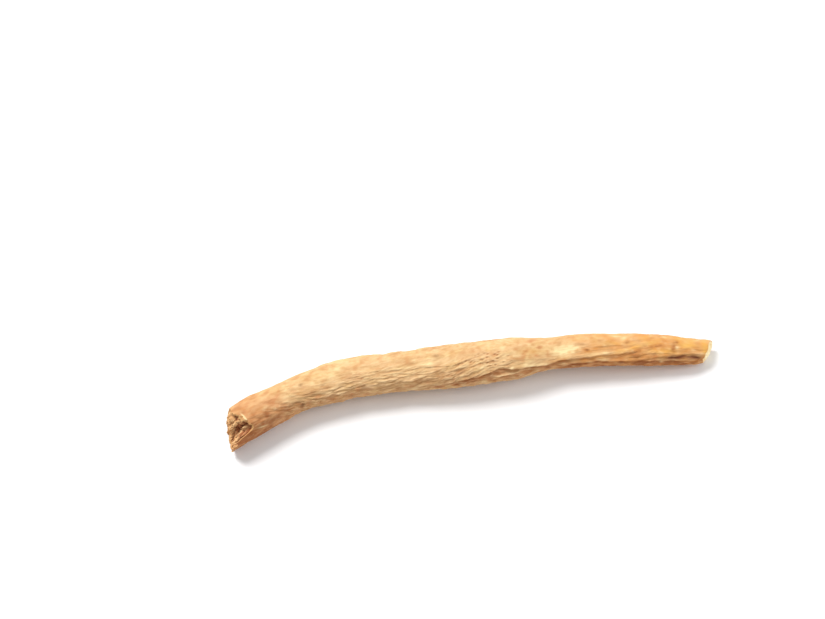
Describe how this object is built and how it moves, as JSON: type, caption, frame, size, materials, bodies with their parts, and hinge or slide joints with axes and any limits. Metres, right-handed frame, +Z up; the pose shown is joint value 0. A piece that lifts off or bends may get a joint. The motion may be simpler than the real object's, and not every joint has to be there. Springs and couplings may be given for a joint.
{
  "type": "ashwagandha root",
  "caption": "Whole dried ashwagandha root: a gently bowed, tapering buff stick with lengthwise wrinkles, a ragged broken end and a clean cut end, lying on a table.",
  "frame": {"origin": "bottom centre of the root's box, on the surface that it lies on", "axes": "+X along the root's length, from the broken end to the cut end; +Y towards the side that it bows to; +Z up"},
  "size_m": [0.1244, 0.0184, 0.01],
  "materials": {
    "root_bark": "matte, dry, finely wrinkled buff bark"
  },
  "bodies": {
    "root": {"ashwagandha_root": "root_bark"}
  },
  "joints": []
}
